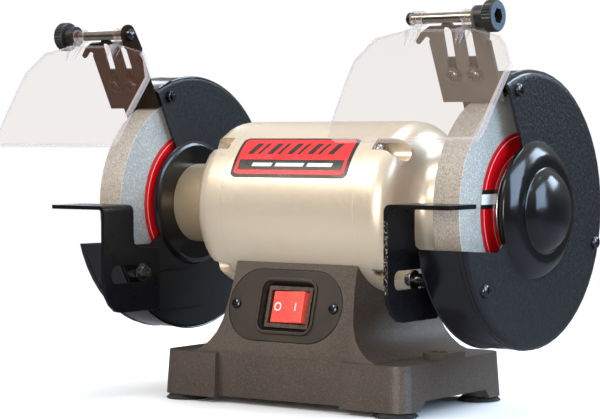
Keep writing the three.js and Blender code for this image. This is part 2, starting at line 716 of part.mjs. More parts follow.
// The rod is a long bolt with a domed head. `out` is +1 where its knob is at the +X end.
function shieldRod(out) {
  const head = out > 0 ? ROD_LEFT : EAR_X[1] + GAP;
  const knobEnd = out > 0 ? EAR_X[1] + GAP : ROD_LEFT;
  const tail = knobEnd + out * (KNOB.length - KNOB_SOCKET - 0.4);
  const dome = [[4.2, 0], [3.8, 2.4], [2.4, 4], [0, 4.4]];
  const profile = [...dome.map(([height, r]) => [head - out * height, r]),
    [head, ROD_R], [tail, ROD_R], [tail, 0]];
  return moved(turnX(profile, 16), shift(0, ROD_AT.off, ROD_AT.r));
}

// A plain collar and a fluted grip with a hexagonal socket in its end.
function shieldKnob(out) {
  const { collarR, gripR, collar, length, teeth } = KNOB;
  const start = out > 0 ? EAR_X[1] + GAP : ROD_LEFT;
  const at = (along) => start + out * along;
  const flutes = [];
  for (let i = 0; i < teeth * 2; i += 1) {
    const radius = i % 2 ? gripR - 0.5 : gripR;
    const angle = (Math.PI * i) / teeth;
    flutes.push([radius * Math.cos(angle), radius * Math.sin(angle)]);
  }
  const neck = rodX(at(0), at(collar + 1), collarR, 18);
  const grip = prismX(flutes, at(collar), at(length));
  const limit = turnX([
    [at(collar - 0.5), 0], [at(collar - 0.5), gripR - 1.2], [at(collar + 0.9), gripR + 0.1],
    [at(length - 1), gripR + 0.1], [at(length), gripR - 0.9], [at(length), 0],
  ], 20);
  const bore = rodX(at(-1), at(length - KNOB_SOCKET + 0.2), ROD_R + GAP, 12);
  const socket = prismX(hexagon(8.6), at(length - KNOB_SOCKET), at(length + 1));
  return moved(cut(join(neck, grip.intersect(limit)), bore, socket), shift(0, ROD_AT.off, ROD_AT.r));
}

// Drawn in (x, z) with the rod at the origin and the sheet hanging along -Z.
function eyeShield() {
  const outline = [
    [-35, -9.2], [-57.6, -15.2], [-67.2, -32.4], [-67.3, -48], [-65.6, -85], [-63.6, -90],
    [-58.6, -93], [41.2, -93], [43.6, -91], [44.6, -87], [45.6, -66], [47.9, -37.6], [38.6, -22],
    [33, -16.2], [12, -10.2],
  ];
  const sheet = prismY(outline, -SHIELD_THICK / 2, SHIELD_THICK / 2);
  const ribOut = -SHIELD_THICK / 2 - 6;
  const rib = [[-4.4, 0], [-3, -10], [ribOut, -14], [-1, -24], [1, -24], [3.4, -10], [4.4, 0]];
  const lugs = [[ROD_LEFT + GAP, -27.2], [1, EAR_X[0] - GAP]].map(([from, to]) => {
    const middle = (from + to) / 2;
    return join(rodX(from, to, 4.7, 14), prismX(rib, middle - 1.6, middle + 1.6));
  });
  return cut(join(sheet, ...lugs), rodX(-60, 40, ROD_R + GAP, 14));
}

function bracketScrews(word) {
  const turn = new THREE.Matrix4().makeRotationZ(-Math.PI / 2);
  return BRACKET_SCREW_X.map((x, i) => {
    const screw = panScrew(4.4, 2.7, 2.2, 6.6, 5.8);
    const seat = shift(x, BRACKET_FRONT - 0.2, BRACKET_SCREW_R);
    return part(`${word}_bracket_screw_${i + 1}`, moved(screw, seat.multiply(turn)), PAINT.satin);
  });
}

function shieldGroup(word, out, turn) {
  const shield = group([part(`${word}_eye_shield`, eyeShield(), PAINT.clear)], {
    y: ROD_AT.off,
    z: ROD_AT.r,
    turn: -SHIELD_TILT - BRACKET_TILT - turn,
  });
  return group([
    part(`${word}_shield_bracket`, bracketPlate(), PAINT.satin),
    part(`${word}_shield_rod`, shieldRod(out), PAINT.steel),
    part(`${word}_shield_knob`, shieldKnob(out), PAINT.satin),
    ...bracketScrews(word),
    shield,
  ], { turn: BRACKET_TILT });
}

// ---------------------------------------------------------------- tool rests

// Table and leg bent from one strip. The leg carries a level slot for its clamp bolt.
function toolRest(side) {
  const [inner, outer] = [LEG_FROM - GUARD_MID, LEG_TO - GUARD_MID];
  const bend = 4.6;
  const section = [
    [TABLE_END - GUARD_MID, 0], [TABLE_END - GUARD_MID, -TABLE_THICK], [outer + 2, -TABLE_THICK],
    [outer + 0.6, -TABLE_THICK - 0.6], [outer, -TABLE_THICK - 2], [outer, -26], [inner, -26],
  ];
  for (let i = 0; i <= 4; i += 1) {
    const angle = (180 - 22.5 * i) * RAD;
    section.push([inner + bend + bend * Math.cos(angle), -bend + bend * Math.sin(angle)]);
  }
  const strip = prismY(section.map(([u, z]) => [side * u, z]), REST_FRONT, TABLE_BACK);
  const leg = [
    [REST_FRONT, -20], [REST_FRONT, -52], [-106.4, -60], [-101.5, -67.4], [-95.5, -72], [-90, -73],
    [-52, -73], [-50, -71], [-50, -33], [-52.5, -30.4], [-72, -29], [-76.4, -26.6], [TABLE_BACK, -22],
    [TABLE_BACK, -20],
  ];
  const web = prismX(leg, side * inner, side * outer);
  const { from, to, drop, half } = REST_SLOT;
  const slot = prismX(rounded((to - from) / 2, half, half - 0.8, (from + to) / 2, -drop, 5), -60, 60);
  return cut(join(strip, web), slot);
}

// Hex head, spring washer and flat washer on the motor side of the leg.
function restBolt(side) {
  const seat = LEG_FROM - GAP - GUARD_MID;
  const end = -GUARD_INNER + SHEET;
  const profile = [
    [end, 0], [end, 3], [seat, 3], [seat, 6.4], [seat - 1, 6.4], [seat - 1, 4.6], [seat - 2.4, 4.6],
    [seat - 2.4, 0],
  ];
  const shank = turnX(alongGuard(profile, side), 14);
  const head = prismX(hexagon(7), side * (seat - 2.2), side * (seat - 5.6));
  return moved(shank.add(head), shift(0, REST_BOLT.y, REST_BOLT.z));
}

// ---------------------------------------------------------------- whole machine

function sideGroup(side, word, tableTop) {
  const turn = -side * GUARD_TURN;
  const turned = group([...guardGroup(side, word), shieldGroup(word, side, turn)], { turn });
  const rest = group([part(`${word}_tool_rest`, toolRest(side), PAINT.satin)], { z: tableTop });
  return group([turned, rest, ...wheelSet(side, word)], { x: side * GUARD_MID });
}

const grinder = new THREE.Group();
grinder.name = 'bench_grinder';
grinder.position.set(SPINDLE.x, SPINDLE.y, SPINDLE.z);
grinder.add(
  ...baseGroup(),
  ...motorGroup(),
  sideGroup(1, 'right', TABLE_TOP.right),
  sideGroup(-1, 'left', TABLE_TOP.left),
);

export default grinder;
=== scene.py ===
import math

import bmesh
import bpy
from mathutils import Matrix, Vector


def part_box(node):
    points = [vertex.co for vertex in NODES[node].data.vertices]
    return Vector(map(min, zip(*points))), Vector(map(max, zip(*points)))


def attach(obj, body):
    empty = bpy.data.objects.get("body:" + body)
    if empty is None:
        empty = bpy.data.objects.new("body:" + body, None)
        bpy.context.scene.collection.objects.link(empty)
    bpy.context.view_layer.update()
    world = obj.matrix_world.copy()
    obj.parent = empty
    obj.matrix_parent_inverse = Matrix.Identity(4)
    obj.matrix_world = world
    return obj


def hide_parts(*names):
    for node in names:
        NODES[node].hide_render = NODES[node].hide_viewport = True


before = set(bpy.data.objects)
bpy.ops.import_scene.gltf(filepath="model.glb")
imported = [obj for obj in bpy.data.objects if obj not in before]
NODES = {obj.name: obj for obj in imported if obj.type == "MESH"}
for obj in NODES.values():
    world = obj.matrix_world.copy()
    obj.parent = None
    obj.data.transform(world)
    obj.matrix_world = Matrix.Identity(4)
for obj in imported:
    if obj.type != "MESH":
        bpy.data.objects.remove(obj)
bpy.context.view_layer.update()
MM = 0.001
SIDES = {"left": -1, "right": 1}


def middle(name):
    low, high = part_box(name)
    return (low + high) / 2


def placed(x, y, z):
    """A point in the scene from millimetres measured from the middle of the spindle."""
    return SPINDLE + Vector((x, y, z)) * MM


SPINDLE = (middle("left_wheel") + middle("right_wheel")) / 2

# Driving dimensions in millimetres. The script turns them into metres where it places things.
MOTOR_R = 57
SEAM_X = 54
GUARD_MID = 137.55
GUARD_R = 88.9
GUARD_BACK_X = 120.9
HUB_R = 44.6
WASHER_THICK = 1.0

# The two guards are turned this far about the spindle, opposite ways, in degrees.
GUARD_TURN = 1.6

# The switch panel: its top edge, and how far it runs back over its rise.
PANEL_TOP_Y = -43.7
PANEL_TOP_Z = -36.5
LEAN = math.atan2(17.3, 61.3)
FACE_OUT = Vector((0, -math.cos(LEAN), math.sin(LEAN)))


# ------------------------------------------------------------------ camera

def make_camera():
    """A long lens just above the spindle's height, well round to the right of the front."""
    yaw, pitch, roll = 0.6284, 0.0373, -0.0015
    level = math.cos(pitch)
    forward = Vector((-math.sin(yaw) * level, math.cos(yaw) * level, -math.sin(pitch)))
    right = forward.cross(Vector((0, 0, 1))).normalized()
    up = right.cross(forward)
    tilted_right = right * math.cos(roll) + up * math.sin(roll)
    tilted_up = up * math.cos(roll) - right * math.sin(roll)
    data = bpy.data.cameras.new("camera")
    data.sensor_width = 36
    data.lens = 124.896
    data.clip_start, data.clip_end = 0.05, 60
    camera = bpy.data.objects.new("camera", data)
    turn = Matrix((tilted_right, tilted_up, -forward)).transposed().to_4x4()
    camera.matrix_world = Matrix.Translation(placed(810.457, -1154.827, 50.097)) @ turn
    bpy.context.scene.collection.objects.link(camera)
    bpy.context.scene.camera = camera


make_camera()


# ------------------------------------------------------------------ node helpers

class Shader:
    """A Principled material with its plain values, and short names for the nodes that feed it.

    A texture linked later takes over in the render, and the plain value stays for the export.
    """

    def __init__(self, name, color=(0.5, 0.5, 0.5), rough=0.5, metal=0.0, **sockets):
        self.material = bpy.data.materials.new(name)
        self.material.use_nodes = True
        self.tree = self.material.node_tree
        self.bsdf = self.tree.nodes["Principled BSDF"]
        self.set("Base Color", (*color, 1))
        self.set("Roughness", rough)
        self.set("Metallic", metal)
        for key, value in sockets.items():
            self.set(key.replace("_", " "), value)
        self.place = self.new("ShaderNodeTexCoord").outputs["Object"]

    def new(self, kind, **values):
        node = self.tree.nodes.new(kind)
        for key, value in values.items():
            setattr(node, key, value)
        return node

    def put(self, socket, value):
        """Links a node's output to a socket, or sets the socket's own value."""
        if isinstance(value, bpy.types.NodeSocket):
            self.tree.links.new(value, socket)
        else:
            socket.default_value = value

    def set(self, socket, value):
        self.put(self.bsdf.inputs[socket], value)

    def feed(self, node, key, value):
        self.put(node.inputs[key], value)

    def noise(self, scale, detail=2.0, rough=0.5, vector=None):
        node = self.new("ShaderNodeTexNoise")
        self.feed(node, "Vector", vector or self.place)
        self.feed(node, "Scale", scale)
        self.feed(node, "Detail", detail)
        self.feed(node, "Roughness", rough)
        return node.outputs["Fac"]

    def cells(self, scale):
        """The brightness of random cells."""
        node = self.new("ShaderNodeTexVoronoi")
        self.feed(node, "Vector", self.place)
        self.feed(node, "Scale", scale)
        gray = self.new("ShaderNodeRGBToBW")
        self.feed(gray, 0, node.outputs["Color"])
        return gray.outputs[0]

    def math(self, operation, a, b=0.0):
        node = self.new("ShaderNodeMath", operation=operation)
        self.feed(node, 0, a)
        self.feed(node, 1, b)
        return node.outputs[0]

    def product(self, *values):
        result = values[0]
        for value in values[1:]:
            result = self.math("MULTIPLY", result, value)
        return result

    def spread(self, value, low, high, to_low=0.0, to_high=1.0):
        """Maps low..high to to_low..to_high, clamped."""
        node = self.new("ShaderNodeMapRange")
        self.feed(node, "Value", value)
        self.feed(node, "From Min", low)
        self.feed(node, "From Max", high)
        self.feed(node, "To Min", to_low)
        self.feed(node, "To Max", to_high)
        return node.outputs[0]

    def mix(self, factor, a, b):
        node = self.new("ShaderNodeMix", data_type="RGBA")
        self.feed(node, "Factor", factor)
        for key, value in (("A", a), ("B", b)):
            socket = [s for s in node.inputs if s.name == key and s.type == "RGBA"][0]
            self.put(socket, value if isinstance(value, bpy.types.NodeSocket) else (*value, 1))
        return [s for s in node.outputs if s.type == "RGBA"][0]

    def clouds(self, low, high, scale, detail=3, span=(0.3, 0.7)):
        """A colour that drifts between two."""
        return self.mix(self.spread(self.noise(scale, detail), *span), low, high)

    def sheen(self, low, high, scale, detail=3, span=(0.3, 0.7)):
        """Roughness that drifts between two values."""
        self.set("Roughness", self.spread(self.noise(scale, detail), *span, low, high))

    def parts(self):
        """The point's own x, y and z."""
        node = self.new("ShaderNodeSeparateXYZ")
        self.feed(node, 0, self.place)
        return node.outputs

    def length(self, a, b):
        return self.math("SQRT", self.math("ADD", self.product(a, a), self.product(b, b)))

    def radius(self, center):
        """Distance from a line along X through `center`."""
        _, y, z = self.parts()
        return self.length(self.math("SUBTRACT", y, center.y), self.math("SUBTRACT", z, center.z))

    def band(self, value, low, high):
        """1 where value lies between low and high, with edges a fifth of a millimetre wide."""
        soft = 0.0001
        rise = self.spread(value, low - soft, low + soft)
        fall = self.spread(value, high - soft, high + soft, 1.0, 0.0)
        return self.product(rise, fall)

    def bump(self, height, strength, distance=0.0002):
        """Adds a bump on top of any that is there already."""
        node = self.new("ShaderNodeBump")
        self.feed(node, "Height", height)
        self.feed(node, "Strength", strength)
        self.feed(node, "Distance", distance)
        previous = self.bsdf.inputs["Normal"].links
        if previous:
            self.tree.links.new(previous[0].from_socket, node.inputs["Normal"])
        self.set("Normal", node.outputs[0])


# ------------------------------------------------------------------ materials

def motor_paint(name, low, high, pale):
    """Champagne metallic paint: a warm base, fine pale flecks and a soft sheen."""
    s = Shader(name, rough=0.34, metal=0.6)
    base = s.clouds(low, high, 14, span=(0.35, 0.65))
    fleck = s.noise(2600, 1)
    s.set("Base Color", s.mix(s.spread(fleck, 0.45, 0.75, 0, 0.3), base, pale))
    s.sheen(0.28, 0.40, 420)
    s.bump(s.noise(900), 0.10)
    return s.material


def casting_paint():
    """Grainy brown-black paint over a sand casting's lumps."""
    s = Shader("casting_paint", rough=0.5, metal=0.25)
    grain = s.noise(1250, 2, 0.7)
    lump = s.noise(420, 3, 0.6)
    base = s.clouds((0.050, 0.037, 0.029), (0.064, 0.049, 0.039), 22, span=(0.35, 0.65))
    s.set("Base Color", s.mix(s.spread(grain, 0.48, 0.66, 0, 0.6), base, (0.15, 0.115, 0.09)))
    s.set("Roughness", s.spread(lump, 0.3, 0.7, 0.38, 0.54))
    s.bump(lump, 0.25, 0.0004)
    s.bump(grain, 0.5, 0.0003)
    return s.material


def gloss_black():
    """Stove enamel with a faint orange peel and a little dust."""
    s = Shader("gloss_black", (0.004, 0.004, 0.005), 0.16, Specular_IOR_Level=0.5)
    dust = s.spread(s.noise(1800), 0.66, 0.82, 0, 0.4)
    s.set("Base Color", s.mix(dust, (0.0035, 0.0035, 0.0045), (0.02, 0.02, 0.022)))
    s.sheen(0.13, 0.23, 60, 4, (0.35, 0.7))
    s.bump(s.noise(190), 0.07, 0.0003)
    return s.material


def wrinkle_black(name, depth):
    """Stove enamel on the guards' flat sides: leathery outside, smoother on the motor side."""
    s = Shader(name, rough=0.42, Specular_IOR_Level=0.36)
    fine = s.noise(1500, 2, 0.6)
    hide = s.noise(430, 3, 0.55)
    s.set("Base Color", s.mix(s.spread(fine, 0.4, 0.7), (0.004, 0.004, 0.005), (0.012, 0.012, 0.014)))
    s.set("Roughness", s.spread(hide, 0.3, 0.7, 0.34, 0.5))
    s.bump(hide, depth, 0.0006)
    s.bump(fine, depth * 0.4)
    return s.material


def satin_black():
    """The rests: dark paint, and chips along the right one's front edge."""
    s = Shader("rest_black", rough=0.34, Specular_IOR_Level=0.2)
    worn = s.spread(s.noise(330, 4, 0.65), 0.68, 0.78)
    base = s.mix(worn, (0.004, 0.004, 0.005), (0.03, 0.03, 0.03))
    x, y, z = s.parts()
    edge_y = SPINDLE.y - 0.1074
    bend_z = SPINDLE.z - 0.004
    front = s.math("LESS_THAN", y, edge_y)
    on_right = s.math("GREATER_THAN", x, SPINDLE.x)
    below = s.math("LESS_THAN", z, bend_z)
    chips = s.spread(s.noise(650, 2, 0.7), 0.54, 0.60)
    s.set("Base Color", s.mix(s.product(front, on_right, below, chips), base, (0.22, 0.19, 0.16)))
    s.sheen(0.24, 0.40, 90, 4)
    s.bump(s.noise(800), 0.12)
    return s.material


# Both brackets take this one paint: the paler right copy holds painted light and reflection, the left is
# darker.
def bracket_paint(name, low, high, shine):
    s = Shader(name, rough=0.45, Specular_IOR_Level=shine)
    s.set("Base Color", s.clouds(low, high, 40, span=(0.35, 0.65)))
    s.sheen(0.28, 0.42, 300)
    s.bump(s.noise(700), 0.12)
    return s.material


def stone():
    """Vitrified abrasive: cool grey sides, and a warmer dressed rim."""
    s = Shader("stone", rough=0.9, Specular_IOR_Level=0.25)
    side_to, rim_from = 0.0738, 0.0746
    rim = s.spread(s.radius(SPINDLE), side_to, rim_from)
    grit = s.cells(1500)
    cloud = s.spread(s.noise(45, 3), 0.3, 0.7)
    side = s.mix(cloud, (0.28, 0.28, 0.262), (0.325, 0.325, 0.305))
    face = s.mix(cloud, (0.41, 0.36, 0.305), (0.475, 0.42, 0.36))
    base = s.mix(rim, side, face)
    pale = s.mix(s.spread(grit, 0.62, 0.85, 0, 0.45), base, (0.66, 0.65, 0.62))
    dark = s.product(s.spread(grit, 0.36, 0.2), s.spread(rim, 0, 1, 0.22, 0.5))
    s.set("Base Color", s.mix(dark, pale, (0.15, 0.14, 0.13)))
    s.bump(s.noise(1800, 3, 0.7), 0.5, 0.0003)
    return s.material


def blotter(side):
    """A red paper disc with thin printed rings. The outer one has a plain marker block."""
    s = Shader("blotter_" + side, rough=0.3)
    reach = s.radius(SPINDLE)
    paper = s.clouds((0.50, 0.001, 0.004), (0.60, 0.002, 0.006), 600, 4)
    inner_ring = s.band(reach, 0.0362, 0.0365)
    outer_ring = s.band(reach, 0.0471, 0.0475)
    rings = s.math("ADD", inner_ring, outer_ring)
    printed = s.mix(rings, paper, (0.80, 0.62, 0.60))
    if side == "outer":
        _, y, z = s.parts()
        inside = s.product(s.band(reach, 0.0330, 0.0510), s.math("LESS_THAN", y, SPINDLE.y))
        ink = s.product(s.band(z, SPINDLE.z + 0.002, SPINDLE.z + 0.014), inside)
        blank = s.product(s.band(z, SPINDLE.z + 0.0048, SPINDLE.z + 0.0112), inside)
        printed = s.mix(ink, printed, (0.008, 0.008, 0.008))
        printed = s.mix(blank, printed, (0.76, 0.78, 0.80))
    s.set("Base Color", printed)
    s.bump(s.noise(900, 3), 0.12)
    return s.material


def turned_steel():
    """Bright steel with fine tool marks round the spindle."""
    s = Shader("turned_steel", (0.72, 0.72, 0.73), 0.2, 1.0)
    rings = s.noise(5200, 1, vector=s.radius(SPINDLE))
    s.set("Base Color", s.clouds((0.58, 0.57, 0.55), (0.76, 0.75, 0.73), 300))
    s.set("Roughness", s.spread(rings, 0.3, 0.7, 0.16, 0.32))
    s.bump(rings, 0.08, 0.0001)
    return s.material


def zinc(name, color, rough):
    s = Shader(name, color, rough, 1.0)
    dark = tuple(c * 0.75 for c in color)
    s.set("Base Color", s.clouds(dark, color, 700, span=(0.35, 0.65)))
    s.sheen(rough - 0.08, rough + 0.1, 400)
    s.bump(s.noise(1500), 0.1, 0.0001)
    return s.material


def chrome():
    s = Shader("chrome", (0.36, 0.31, 0.26), 0.16, 1.0)
    s.set("Base Color", s.clouds((0.28, 0.235, 0.19), (0.40, 0.345, 0.29), 90))
    s.sheen(0.08, 0.18, 500)
    return s.material


def knob_plastic():
    s = Shader("knob_plastic", (0.010, 0.009, 0.008), 0.4)
    s.set("Base Color", s.mix(s.noise(500, 3), (0.006, 0.005, 0.004), (0.016, 0.014, 0.012)))
    s.sheen(0.32, 0.48, 900, 2)
    s.bump(s.noise(1200), 0.15, 0.0001)
    return s.material


def switch_black():
    s = Shader("switch_black", (0.004, 0.004, 0.004), 0.45, Specular_IOR_Level=0.12)
    s.set("Base Color", s.mix(s.noise(400, 3), (0.003, 0.003, 0.003), (0.009, 0.008, 0.008)))
    s.sheen(0.34, 0.5, 900, 2)
    s.bump(s.noise(1500), 0.15, 0.0001)
    return s.material


def rubber():
    s = Shader("rubber", (0.015, 0.015, 0.015), 0.7)
    s.set("Base Color", s.clouds((0.008, 0.008, 0.009), (0.024, 0.024, 0.026), 240, 4))
    s.sheen(0.6, 0.82, 800, 2)
    s.bump(s.noise(1400), 0.3)
    return s.material


def clear_sheet(name, haze, low, high):
    """Clear plastic as a thin veil: mostly see-through, with a faint warm haze. Each sheet's haze and tint
    hold painted light.
    """
    s = Shader(name, low, 0.06, Alpha=haze, Specular_IOR_Level=0.2)
    s.set("Base Color", s.mix(s.noise(6), low, high))
    s.sheen(0.04, 0.10, 25, 4, (0.4, 0.75))
    s.material.blend_method = "BLEND"
    return s.material


def clear_edge():
    """The sheet's cut edges and moulded lugs, where it gathers light."""
    s = Shader("clear_edge", (0.60, 0.53, 0.53), 0.3, Alpha=0.34, Specular_IOR_Level=0.3)
    s.set("Base Color", s.clouds((0.54, 0.47, 0.47), (0.66, 0.60, 0.60), 18, 2))
    s.sheen(0.26, 0.36, 60, 2)
    s.material.blend_method = "BLEND"
    return s.material


def switch_red():
    """A translucent red cap."""
    s = Shader("switch_red", (0.86, 0.12, 0.08), 0.24, Coat_Weight=0.3, Subsurface_Weight=0.25)
    s.set("Subsurface Radius", (0.004, 0.001, 0.0006))
    s.set("Base Color", s.clouds((0.84, 0.075, 0.060), (0.90, 0.11, 0.085), 120))
    s.sheen(0.2, 0.32, 900, 2)
    return s.material


def plate_paint():
    s = Shader("plate_paint", rough=0.42, metal=0.25)
    s.set("Base Color", s.clouds((0.024, 0.017, 0.011), (0.036, 0.026, 0.017), 30, span=(0.35, 0.65)))
    s.sheen(0.34, 0.5, 400)
    s.bump(s.noise(900), 0.2)
    return s.material


def plain(name, low, high, rough, metal=0.0, scale=500, bump=0.2):
    """Any finish that needs only mottling, a varied sheen and a grain finer than both."""
    s = Shader(name, low, rough, metal)
    s.set("Base Color", s.clouds(low, high, scale))
    s.sheen(rough - 0.06, rough + 0.08, scale * 2, 2)
    s.bump(s.noise(scale * 2.5), bump)
    return s.material


LOOKS = {
    "motor": motor_paint("motor_paint", (0.74, 0.63, 0.48), (0.80, 0.69, 0.54), (0.84, 0.76, 0.64)),
    # The neck's darker paint is partly its own olive tone and partly painted shade.
    "neck": motor_paint("neck_paint_and_shade", (0.46, 0.37, 0.24), (0.54, 0.43, 0.29), (0.62, 0.52, 0.37)),
    "casting": casting_paint(),
    "gloss": gloss_black(),
    "cover_enamel": wrinkle_black("cover_enamel", 0.75),
    "drum_enamel": wrinkle_black("drum_enamel", 0.16),
    "rest": satin_black(),
    # One bracket paint in two tones: the right copy's paler colour is painted light and reflection.
    "bracket_left": bracket_paint("bracket_left", (0.014, 0.008, 0.005), (0.024, 0.014, 0.008), 0.03),
    "bracket_right": bracket_paint("bracket_right", (0.080, 0.067, 0.056), (0.108, 0.091, 0.076), 0.1),
    "stone": stone(),
    "blotter_inner": blotter("inner"),
    "blotter_outer": blotter("outer"),
    "turned": turned_steel(),
    "zinc": zinc("zinc", (0.46, 0.44, 0.42), 0.3),
    "dark_zinc": zinc("dark_zinc", (0.17, 0.165, 0.16), 0.26),
    "dark_screw": zinc("dark_screw", (0.085, 0.085, 0.095), 0.2),
    # The bracket screws are one part: the right pair's paler colour is painted light, as on its bracket.
    "bracket_screw_left": zinc("bracket_screw_left", (0.10, 0.07, 0.05), 0.32),
    "bracket_screw_right": zinc("bracket_screw_right", (0.24, 0.22, 0.20), 0.32),
    "chrome": chrome(),
    "knob": knob_plastic(),
    "switch": switch_black(),
    "rubber": rubber(),
    # The two sheets are one plastic: the right copy's paler, hazier veil is painted light, the left's
    # darker, clearer one painted shade.
    "clear_left": clear_sheet("clear_left", 0.10, (0.20, 0.105, 0.075), (0.25, 0.135, 0.10)),
    "clear_right": clear_sheet("clear_right", 0.145, (0.29, 0.22, 0.17), (0.35, 0.27, 0.22)),
    "edge": clear_edge(),
    "switch_red": switch_red(),
    "plate": plate_paint(),
    # The bezel's brown is painted reflection: light on the top and inner walls of a black bezel.
    "bezel": plain("bezel", (0.050, 0.034, 0.024), (0.075, 0.052, 0.038), 0.3, 0.0, 300, 0.1),
    "knob_ring": plain("knob_ring", (0.060, 0.085, 0.12), (0.10, 0.135, 0.18), 0.35, 0.2),
    "sheet_steel": plain("sheet_steel", (0.035, 0.034, 0.033), (0.06, 0.058, 0.055), 0.5, 0.2, 200),
    "can": plain("can", (0.55, 0.55, 0.56), (0.66, 0.66, 0.67), 0.35, 1.0, 150, 0.1),
    "laminations": plain("laminations", (0.20, 0.20, 0.21), (0.32, 0.32, 0.33), 0.5, 0.8, 900),
    "copper": plain("copper", (0.45, 0.20, 0.10), (0.62, 0.31, 0.17), 0.35, 0.7, 900, 0.5),
    "mark_white": plain("mark_white", (0.78, 0.70, 0.68), (0.88, 0.82, 0.80), 0.5, 0, 600, 0.05),
    "label_red": plain("label_red", (0.78, 0.018, 0.022), (0.86, 0.026, 0.030), 0.3, 0, 40, 0.02),
    "label_black": plain("label_black", (0.014, 0.013, 0.009), (0.026, 0.024, 0.018), 0.3, 0, 60, 0.02),
}


# ------------------------------------------------------------------ CAD nodes

def angle_smoothing(limit):
    """Nodes that shade smooth, except across edges sharper than the limit."""
    tree = bpy.data.node_groups.new("smooth_by_angle", "GeometryNodeTree")
    for way in ("INPUT", "OUTPUT"):
        tree.interface.new_socket("Geometry", in_out=way, socket_type="NodeSocketGeometry")
    new, link = tree.nodes.new, tree.links.new
    start, end = new("NodeGroupInput"), new("NodeGroupOutput")
    angle = new("GeometryNodeInputMeshEdgeAngle")
    compare = new("FunctionNodeCompare")
    compare.data_type, compare.operation = "FLOAT", "GREATER_THAN"
    compare.inputs[1].default_value = math.radians(limit)
    faces, edges = new("GeometryNodeSetShadeSmooth"), new("GeometryNodeSetShadeSmooth")
    faces.domain, edges.domain = "FACE", "EDGE"
    edges.inputs["Shade Smooth"].default_value = False
    link(start.outputs[0], faces.inputs["Geometry"])
    link(faces.outputs[0], edges.inputs["Geometry"])
    link(angle.outputs["Unsigned Angle"], compare.inputs[0])
    link(compare.outputs[0], edges.inputs["Selection"])
    link(edges.outputs[0], end.inputs[0])
    return tree


SMOOTHING = angle_smoothing(38)


def refine(obj, bevel):
    """Joins the facets, rounds the hard edges by `bevel` millimetres, and smooths the shading."""
    mesh = obj.data
    for name in ("custom_normal", "sharp_face", "sharp_edge"):
        if name in mesh.attributes:
            mesh.attributes.remove(mesh.attributes[name])
    weld = obj.modifiers.new("weld", "WELD")
    weld.merge_threshold = 0.01 * MM
    flat = obj.modifiers.new("flat", "DECIMATE")
    flat.decimate_type = "DISSOLVE"
    flat.angle_limit = math.radians(0.6)
    flat.delimit = {"MATERIAL"}
    if bevel:
        round_off = obj.modifiers.new("round_off", "BEVEL")
        round_off.width, round_off.segments = bevel * MM, 2
        round_off.limit_method, round_off.angle_limit = "ANGLE", math.radians(40)
    smooth = obj.modifiers.new("smooth", "NODES")
    smooth.node_group = SMOOTHING
    weighted = obj.modifiers.new("weighted", "WEIGHTED_NORMAL")
    weighted.keep_sharp = True


def finish_node(name, *looks, bevel=0.0, pick=None):
    """Gives a CAD node its materials. `pick` says whether a face takes the second one."""
    obj = NODES[name]
    obj.data.materials.clear()
    for look in looks:
        obj.data.materials.append(LOOKS[look])
    for face in obj.data.polygons:
        face.material_index = 1 if pick and pick(face) else 0
    refine(obj, bevel)


def reach_of(face):
    """The face's distance from the spindle's axis, in millimetres."""
    return math.hypot(face.center.y - SPINDLE.y, face.center.z - SPINDLE.z) / MM


def end_of(name, side):
    """The node's far end along X, on the given side."""
    return side * max(side * v.co.x for v in NODES[name].data.vertices)


def widest_face(name):
    return max(NODES[name].data.polygons, key=lambda face: face.area)


def front_normal(name):
    """The widest face's normal, turned to point away from the back."""
    normal = widest_face(name).normal.copy()
    return normal if normal.y < 0 else -normal


def finish_bell(word):
    """The left bell's turned neck takes a darker, duller paint: partly its own olive tone, partly painted
    shade.
    """
    neck_x, neck_r = 84.5, 33

    def neck(face):
        return SPINDLE.x - face.center.x > neck_x * MM and reach_of(face) < neck_r

    finish_node(word + "_end_bell", "motor", "neck", bevel=0.5, pick=neck)


def finish_guards(word):
    """Gloss rims and hubs, and enamel on the flat sides."""

    def flat_side(face):
        return abs(face.normal.x) > 0.9 and reach_of(face) > HUB_R

    finish_node(word + "_guard_drum", "gloss", "drum_enamel", bevel=0.55, pick=flat_side)
    finish_node(word + "_guard_cover", "gloss", "cover_enamel", bevel=0.55, pick=flat_side)


def finish_shield(word):
    """The sheet's two faces are clear, and its cut edges scatter light."""
    sheet = widest_face(word + "_eye_shield").normal.copy()

    def edge(face):
        return abs(face.normal.dot(sheet)) < 0.5

    finish_node(word + "_eye_shield", "clear_" + word, "edge", bevel=0.3, pick=edge)


def finish_knob(word, side):
    """Dark fluted grip, with a bluish moulded face at its outer end."""
    tip = end_of(word + "_shield_knob", side)

    def ring(face):
        return abs(face.normal.x) > 0.9 and abs(face.center.x - tip) < 0.5 * MM

    finish_node(word + "_shield_knob", "knob", "knob_ring", bevel=0.12, pick=ring)


def finish_rod(word, side):
    """Plated shank, and a blackened dome at the end away from the knob."""
    head = end_of(word + "_shield_rod", -side)

    def dome(face):
        return abs(face.center.x - head) < 4.3 * MM

    finish_node(word + "_shield_rod", "chrome", "dark_screw", bevel=0.3, pick=dome)


def finish_switch():
    """The pocket's flange is black, and the bezel that stands on it is brown: a painted reflection of the
    light on its top and inner walls.
    """
    mesh = NODES["switch_body"].data
    top = max(v.co.dot(FACE_OUT) for v in mesh.vertices)
    center = middle("rocker")

    def bezel(face):
        depth = top - face.center.dot(FACE_OUT)
        wall = abs(face.normal.dot(FACE_OUT)) < 0.2 and depth < 9 * MM
        inward = (face.center - center).dot(face.normal) < 0
        return depth < 0.2 * MM or (wall and inward)

    finish_node("switch_body", "switch", "bezel", bevel=0.25, pick=bezel)


